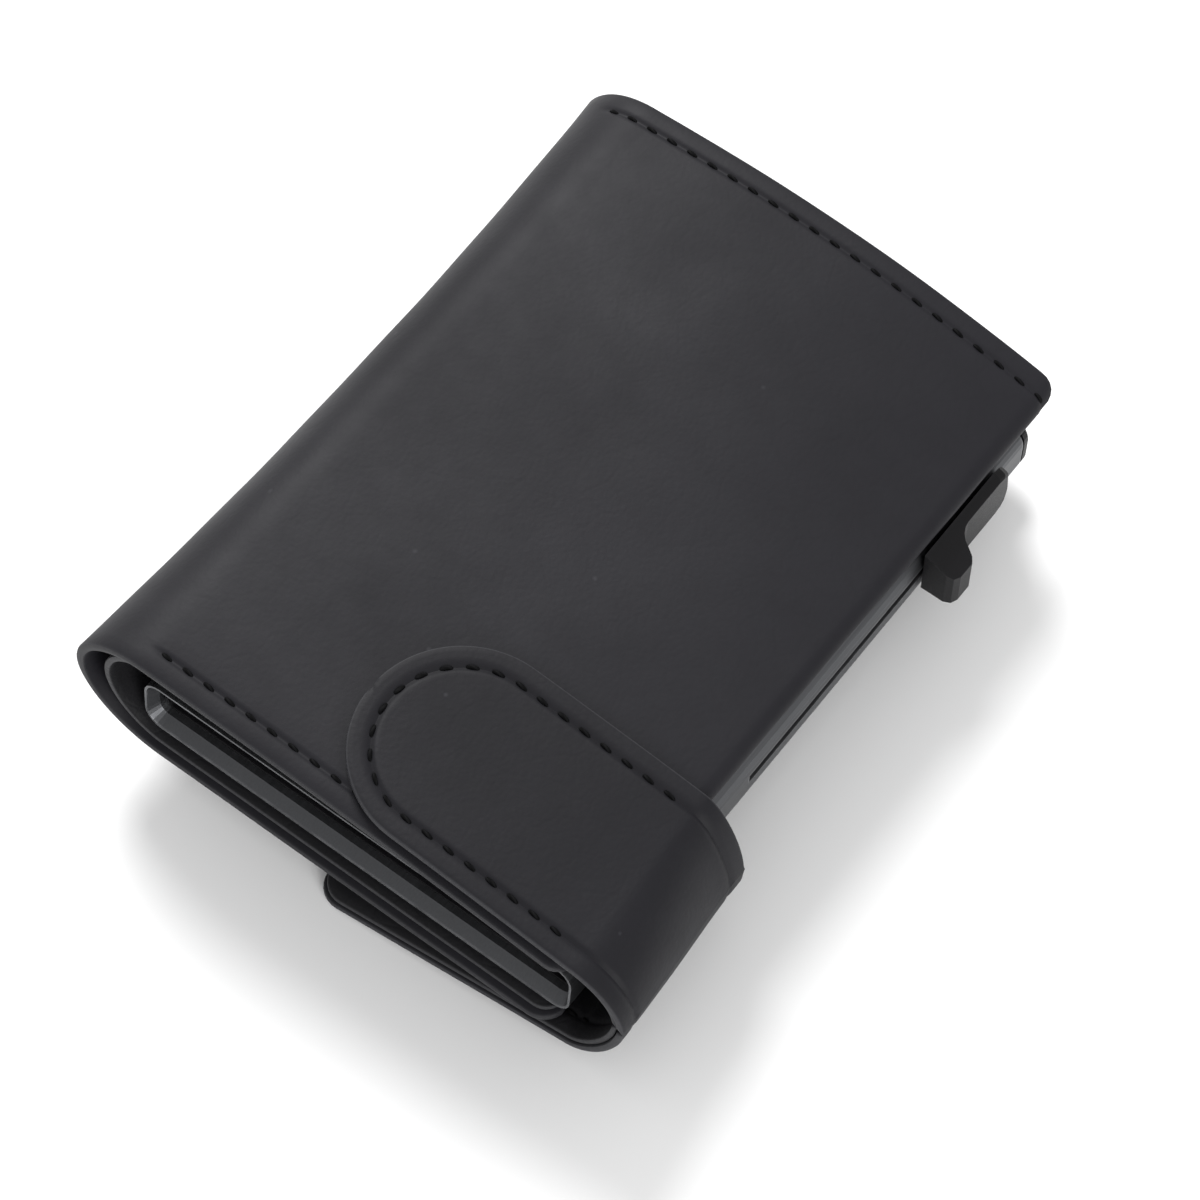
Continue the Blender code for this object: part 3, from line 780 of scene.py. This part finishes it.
def beforeSeam(s, y):
    return s < 0.01


def coverGroove(nearStart, farStart, length):
    near = lineGroove((-stitchY,), 0.28, 0.42, start=nearStart - 1.5, end=length + 5)
    far = lineGroove((stitchY,), 0.28, 0.42, start=farStart - 1.5, end=length + 5)
    return lambda s, y: near(s, y) + far(s, y)


nearStart = spineArc + 0.5  # near the mouth the stitching starts past the fold
farStart = spineArc - 6.0
marks = (-stitchY, stitchY)


def coverSheet(name, surface, length, facing, corner):
    return makeSheet(
        name,
        rectangleCut(length, -coverEdge, coverEdge, (0.0, corner), 0.9, 1.8, marks),
        surface,
        facing,
        cover["thick"],
        coverLeather,
        bulge=cover["bulge"],
        groove=coverGroove(nearStart, farStart, length),
        seam=beforeSeam,
    )


def sideRuns(nearStart, farStart, nearEnd, farEnd):
    # one stitch line along each side
    return [[(nearStart, -stitchY), (nearEnd, -stitchY)], [(farStart, stitchY), (farEnd, stitchY)]]


coverUpper = coverSheet("coverLeatherUpper", upperSurface, upperLength, 1, 3.6)
coverLower = coverSheet("coverLeatherLower", lowerSurface, lowerLength, -1, 3.2)
runs = sideRuns(nearStart, farStart, upperLength - 3.5, upperLength - 1.0)
upperThread = sewStitches("coverStitchesUpper", runs, upperSurface, 1)
runs = sideRuns(nearStart, farStart, lowerLength - 3.0, lowerLength - 3.0)
lowerThread = sewStitches("coverStitchesLower", runs, lowerSurface, -1)
print("cover ready")

leaf = {
    "wide": 8.0,
    "low": 7.3,
    "high": 26.1,
    "thick": 0.9,
    "nearY": -49.2,
    "farY": 49.4,
    "edgeX": 33.8,
    "topEdgeX": 33.4,
    "under": 1.9,  # below the front cover's outer face
    "bulge": 0.25,
}
leafMiddle, leafTall = (leaf["low"] + leaf["high"]) / 2, (leaf["high"] - leaf["low"]) / 2
leafUpperProfile = ellipseArc((cover["spineX"], leafMiddle), (leaf["wide"], leafTall), 180, 90)
leafTop = np.linspace(-24.8, leaf["topEdgeX"], 60)
leafUpperProfile += [(x, float(frontTop(x)) - leaf["under"]) for x in leafTop]
leafLowerProfile = ellipseArc((cover["spineX"], leafMiddle), (leaf["wide"], leafTall), 180, 270)
leafLowerProfile += [(x, leaf["low"]) for x in np.linspace(-24.8, leaf["edgeX"] - leaf["bulge"], 60)]
leafUpperAt, leafUpperLength = pathOf(leafUpperProfile)
leafLowerAt, leafLowerLength = pathOf(leafLowerProfile)
leafUpperSurface, leafLowerSurface = warpedSurface(leafUpperAt, 0.75), warpedSurface(leafLowerAt, 0.75)
leafStarts = (nearStart - 3.0, farStart - 3.0)


def leafSheet(name, surface, length, facing, corner):
    near, far = leaf["nearY"] + leaf["bulge"], leaf["farY"] - leaf["bulge"]
    return makeSheet(
        name,
        rectangleCut(length, near, far, (0.0, corner), 1.2, 2.2, marks),
        surface,
        facing,
        leaf["thick"],
        liningLeather,
        bulge=leaf["bulge"],
        backGroove=coverGroove(*leafStarts, length),
        seam=beforeSeam,
    )


leafUpper = leafSheet("pocketLeafUpper", leafUpperSurface, leafUpperLength, 1, 2.0)
leafLower = leafSheet("pocketLeafLower", leafLowerSurface, leafLowerLength, -1, 2.4)


def backFace(surface, facing, thick):
    # the inner face of a sheet, for stitches that show inside the wallet
    def at(s, y):
        point, normal = surfaceFrame(surface, np.asarray(s, float), np.asarray(y, float), facing)
        return point - normal * thick

    return at


leafRuns = sideRuns(*leafStarts, leafUpperLength - 3.0, leafUpperLength - 3.0)
leafUpperInside = backFace(leafUpperSurface, 1, leaf["thick"])
leafUpperThread = sewStitches("pocketStitchesUpper", leafRuns, leafUpperInside, -1)
leafLowerInside = backFace(leafLowerSurface, -1, leaf["thick"])
leafLowerThread = sewStitches("pocketStitchesLower", leafRuns, leafLowerInside, 1)
print("inner leaf ready")

pockets = {"thick": 0.7, "low": -46.0, "high": 46.5, "end": 33.2, "bulge": 0.2, "hem": 2.2}


def pocketSurface(start, depth):
    profile = [(x, float(frontTop(x)) - depth) for x in np.linspace(start, pockets["end"], 60)]
    at, length = pathOf(profile)
    return warpedSurface(at), length


def hemGroove(s, y):
    return 0.14 * np.exp(-(((s - hem) / 0.35) ** 2))


hem = pockets["hem"]
pocketStitch = dict(stitch, radius=0.2, lift=0.12, sunk=0.08)
sides = (pockets["low"] + 3.0, pockets["high"] - 3.0)
sideGroove = lineGroove(sides, 0.18, 0.35)
pocketPieces = []
for label, start, depth in (("cardPocketRear", -13.8, 3.1), ("cardPocketFront", -1.8, 4.1)):
    surface, length = pocketSurface(start, depth)
    ends = (pockets["low"], pockets["high"])
    piece = makeSheet(
        label,
        rectangleCut(length, *ends, (1.2, 2.0), 1.2, 2.4, sides, (hem,)),
        surface,
        1,
        pockets["thick"],
        liningLeather,
        bulge=pockets["bulge"],
        backGroove=lambda s, y: sideGroove(s, y) + hemGroove(s, y),
    )
    runs = [[(1.2, y), (length - 2.0, y)] for y in sides]
    runs.append([(hem, sides[0] + 1.5), (hem, sides[1] - 1.5)])
    thread = sewStitches(label + "Stitches", runs, backFace(surface, 1, pockets["thick"]), -1, pocketStitch)
    pocketPieces.append((piece, thread, length))
print("card pockets ready")

strap = {
    "tipX": -2.2,
    "topX": 36.0,
    "low": -49.4,
    "high": -22.4,
    "thick": 1.0,
    "lining": 0.8,
    "between": 0.12,
    "out": (8.4, 5.9),  # how far the bend stands out at the mouth side and at the far side
    "widest": (17.6, 13.2),  # height of its widest place at those two sides
    "inset": 2.8,
    "bulge": 0.32,
    "tabEnd": -1.0,
    "tabRise": 3.5,  # the tab climbs by this much on its way to the bend
    "skew": 2.0,  # and its end stands aside by this much
    "bendLength": 14.6,
}
strapMiddle = (strap["low"] + strap["high"]) / 2
strapHalf = (strap["high"] - strap["low"]) / 2
stackTop = strap["between"] + strap["lining"] + strap["between"] + strap["thick"]


def tabUnder(x):
    return strap["tabRise"] * (x - strap["tabEnd"]) / (strap["topX"] - strap["tabEnd"])


def strapFlat(depth, tip, upper):
    # the straight run from the tip to the bend, depth under the strap's outer face
    if upper:
        places = np.linspace(tip, strap["topX"], 50)
        return pathOf([(x, float(frontTop(x)) + stackTop - depth) for x in places])
    return pathOf([(x, float(tabUnder(x)) + depth) for x in np.linspace(tip, strap["topX"], 40)])


def strapSurface(depth, tip, upper):
    # the bend is fuller and higher at the mouth side, where nothing holds it back
    at, flatLength = strapFlat(depth, tip, upper)
    length = flatLength + strap["bendLength"]

    def surface(s, y):
        s, y = np.asarray(s, float), np.asarray(y, float)
        x, z = at(np.minimum(s, flatLength))
        away = smooth((y + strapHalf) / (2 * strapHalf))
        out = strap["out"][0] + (strap["out"][1] - strap["out"][0]) * away - depth
        widest = strap["widest"][0] + (strap["widest"][1] - strap["widest"][0]) * away
        turn = np.clip((s - flatLength) / strap["bendLength"], 0.0, 1.02) * math.pi / 2
        blunt = 0.98 + (0.20 * away if upper else 0.30 * (1 - away))
        across = np.sin(turn) ** blunt * out
        fall = 1 - np.abs(np.cos(turn)) ** blunt
        x = x + np.where(s > flatLength, across, 0.0)
        z = z + np.where(s > flatLength, (widest - z) * fall, 0.0)
        place = y + strapMiddle
        if not upper:
            short = strap["topX"] - np.minimum(x, strap["topX"])
            place = place - strap["skew"] * short / (strap["topX"] - strap["tabEnd"])
        return np.stack([x, place, z], -1)

    return surface, length


def strapGroove(half):
    line = half - (strap["inset"] - strap["bulge"])

    def at(s, y):
        fromTip = s - half
        radial = np.where(fromTip < 0, np.sqrt(fromTip**2 + y**2), np.abs(y))
        return 0.34 * np.exp(-(((radial - line) / 0.42) ** 2))

    return at


def tabGroove(half, end):
    line = half - (strap["inset"] - strap["bulge"])

    def at(s, y):
        sides = np.exp(-(((np.abs(y) - line) / 0.42) ** 2)) * smooth((s - end + 0.8) / 0.8)
        across = np.exp(-(((s - end) / 0.42) ** 2)) * smooth((line + 0.8 - np.abs(y)) / 0.8)
        return 0.24 * np.maximum(sides, across)

    return at


strapLayers = (
    ("strapOuter", 0.0, strap["thick"], strapLeather, 0.0),
    ("strapLining", strap["thick"] + strap["between"], strap["lining"], liningLeather, 0.35),
)
inside = strap["inset"] - strap["bulge"]  # from the cut's edge in to the stitching
strapPieces = {}
for label, depth, thick, look, inset in strapLayers:
    half = strapHalf - strap["bulge"] - inset
    tip = strap["tipX"] + strap["bulge"] + inset
    surface, length = strapSurface(depth, tip, True)
    sewn = makeSheet(
        label + "Sewn",
        strapCut(length, half),
        surface,
        1,
        thick,
        look,
        bulge=strap["bulge"],
        groove=strapGroove(half) if depth == 0 else None,
        seam=lambda s, y, end=length: s > end - 0.01,
    )
    strapPieces[label + "Sewn"] = (sewn, surface, length, half)
    tip = strap["tabEnd"] + strap["bulge"] + inset
    surface, length = strapSurface(depth, tip, False)
    tab = makeSheet(
        label + "Tab",
        rectangleCut(length, -half, half, (3.6, 0.0), 1.0, 1.6, (-half + inside, half - inside), (inside,)),
        surface,
        -1,
        thick,
        look,
        bulge=strap["bulge"],
        groove=tabGroove(half, inside) if depth == 0 else None,
        backGroove=tabGroove(half, inside) if depth else None,
        seam=lambda s, y, end=length: s > end - 0.01,
    )
    strapPieces[label + "Tab"] = (tab, surface, length, half)


def tipRun(length, half):
    # along one side, round the tip and back along the other
    line = half - inside
    flatEnd = length - 17.0  # the thread stops before the bend, and the crease runs on
    turns = np.radians(np.linspace(90, 270, 60))
    run = [(flatEnd, line), (half, line)]
    run += [(half + line * math.cos(a), line * math.sin(a)) for a in turns]
    return run + [(half, -line), (flatEnd, -line)]


def tabRun(length, half, bare):
    # along both sides and across the end, with the corners taken off
    line = half - inside
    run = [(length - bare, line), (inside + 1.2, line), (inside, line - 1.2)]
    return run + [(s, -y) for s, y in reversed(run)]


surface, length, half = strapPieces["strapOuterSewn"][1:]
strapThread = sewStitches("strapStitches", [tipRun(length, half)], surface, 1)
surface, length, half = strapPieces["strapOuterTab"][1:]
tabThread = sewStitches("strapTabStitches", [tabRun(length, half, 14.0)], surface, -1)
surface, length, half = strapPieces["strapLiningTab"][1:]
tabInside = backFace(surface, -1, strap["lining"])
liningThread = sewStitches("strapTabInnerStitches", [tabRun(length, half, 12.0)], tabInside, 1)
print("strap ready")


def feltBlock(name, node, step):
    # a soft-edged pad in the place of its plain block
    low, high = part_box(node)
    low, high = np.array(low) * 1000 - shift, np.array(high) * 1000 - shift
    length, wide, thick = high - low
    edge = 0.12
    cut = rectangleCut(length - 2 * edge, low[1] + edge, high[1] - edge, (0.8, 0.8), step, step)

    def surface(s, y):
        s, y = np.asarray(s, float), np.asarray(y, float)
        nap = 0.03 * np.sin(2.9 * s + 1.3 * np.sin(1.7 * y)) * np.sin(3.3 * y + 0.8 * np.sin(2.1 * s)) - 0.03
        return np.stack([low[0] + edge + s, y, high[2] + nap], -1)

    return makeSheet(name, cut, surface, 1, thick - 0.06, greyFelt, bulge=edge, wobble=0.0, rimSteps=3)


pad = feltBlock("mountingPad", "case_mounting_pad", 1.5)
stripLower = feltBlock("frictionStripLower", "friction_strip_lower", 1.0)
stripUpper = feltBlock("frictionStripUpper", "friction_strip_upper", 1.0)
print("felt ready")

finishes = {
    "card_case": caseMetal,
    "mouth_liner": blackPlastic,
    "case_end_cap": blackPlastic,
    "card_guide_rail": blackPlastic,
    "ejector_carriage": blackPlastic,
    "slider_lever": blackPlastic,
    "press_stud": studMetal,
    "press_stud_socket": studMetal,
}
softened = {  # width of the rounded edges in metres, and its steps
    "slider_lever": (0.00045, 4),
    "press_stud": (0.00012, 2),
    "press_stud_socket": (0.00012, 2),
    "case_end_cap": (0.0002, 2),
    "card_case": (0.00016, 2),
}
for node, look in finishes.items():
    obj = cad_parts[node]
    obj.data.materials.clear()
    obj.data.materials.append(look)
    if node in softened:
        width, segments = softened[node]
        bevel = obj.modifiers.new("softEdges", "BEVEL")
        bevel.width = width
        bevel.segments = segments
        bevel.limit_method = "ANGLE"
        bevel.angle_limit = math.radians(38)
        bevel.harden_normals = False
print("hard parts finished")

for piece in (coverLower, lowerThread, leafLower, leafLowerThread):
    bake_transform(piece)
for piece in (coverUpper, upperThread, leafUpper, leafUpperThread):
    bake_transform(piece)
for piece, thread, length in pocketPieces:
    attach(piece, "front")
    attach(thread, "front")
for label in ("strapOuterSewn", "strapLiningSewn"):
    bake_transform(strapPieces[label][0])
for label in ("strapOuterTab", "strapLiningTab"):
    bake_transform(strapPieces[label][0])
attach(strapThread, "front")
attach(tabThread, "strap_tab")
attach(liningThread, "strap_tab")
for piece in (pad, stripLower, stripUpper):
    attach(piece, "back")

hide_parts("front_cover", "spine")
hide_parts("back_cover", "spine")
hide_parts("inner_leaf_front", "inner_leaf_fold")
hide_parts("inner_leaf_back", "inner_leaf_fold")
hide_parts("card_pocket_rear")
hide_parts("card_pocket_front")
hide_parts("strap_outer_sewn", "strap_outer_bend")
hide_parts("strap_lining_sewn", "strap_lining_bend")
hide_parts("strap_outer_tab")
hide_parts("strap_lining_tab")
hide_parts("case_mounting_pad")
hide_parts("friction_strip_lower")
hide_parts("friction_strip_upper")


fullWide = 2 * cover["half"]
leafWide = leaf["farY"] - leaf["nearY"]
folded = (
    (coverUpper, upperLength, fullWide, "pocketLeafUpper", upperThread),
    (coverLower, lowerLength, fullWide, "strapLiningTab", lowerThread),
    (leafUpper, leafUpperLength, leafWide, "coverLeatherUpper", leafUpperThread),
    (leafLower, leafLowerLength, leafWide, "coverLeatherLower", leafLowerThread),
)
for piece, length, wide, under, thread in folded:
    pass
for piece, thread, length in pocketPieces:
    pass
for label, (piece, surface, length, half) in strapPieces.items():
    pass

studio = {
    "floor": 0.92,
    "world": 0.72,
    "key": (17.0, (-0.75, 0.55, 0.95), 0.6),
    "side": (7.0, (0.95, -0.55, 0.5), 0.6),
}
scene.view_settings.view_transform = "Standard"


def makeFloor():
    bm = bmesh.new()
    bmesh.ops.create_grid(bm, x_segments=8, y_segments=8, size=2.5)
    bmesh.ops.translate(bm, vec=(0, 0, -0.0001), verts=bm.verts)
    mesh = bpy.data.meshes.new("floor")
    bm.to_mesh(mesh)
    bm.free()
    obj = bpy.data.objects.new("floor", mesh)
    scene.collection.objects.link(obj)
    look = bpy.data.materials.new("paleFloor")
    look.use_nodes = True
    shader = look.node_tree.nodes["Principled BSDF"]
    shader.inputs["Base Color"].default_value = (studio["floor"],) * 3 + (1.0,)
    shader.inputs["Roughness"].default_value = 0.6
    mesh.materials.append(look)


def addAreaLight(name, power, place, size):
    data = bpy.data.lights.new(name, "AREA")
    data.shape = "DISK"
    data.size = size
    data.energy = power
    obj = bpy.data.objects.new(name, data)
    scene.collection.objects.link(obj)
    obj.location = place
    obj.rotation_mode = "QUATERNION"
    obj.rotation_quaternion = (-Vector(place)).to_track_quat("-Z", "Y")


makeFloor()
for name in ("key", "side"):
    power, place, size = studio[name]
    addAreaLight(name, power, place, size)
world = bpy.data.worlds.new("paleStudio")
scene.world = world
world.use_nodes = True
world.node_tree.nodes["Background"].inputs["Color"].default_value = (1, 1, 1, 1)
world.node_tree.nodes["Background"].inputs["Strength"].default_value = studio["world"]

view = {"azimuth": 37.27, "elevation": 60.75, "lens": 120.3, "place": (0.14603, -0.19228, 0.43694)}
cameraData = bpy.data.cameras.new("camera")
cameraData.lens = view["lens"]
cameraData.sensor_width = 36.0
cameraData.clip_start, cameraData.clip_end = 0.02, 20.0
camera = bpy.data.objects.new("camera", cameraData)
scene.collection.objects.link(camera)
azimuth, elevation = math.radians(view["azimuth"]), math.radians(view["elevation"])
level = math.cos(elevation)
back = Vector((math.sin(azimuth) * level, -math.cos(azimuth) * level, math.sin(elevation)))
camera.location = view["place"]
camera.rotation_mode = "QUATERNION"
camera.rotation_quaternion = (-back).to_track_quat("-Z", "Y")
scene.camera = camera
print("studio ready")
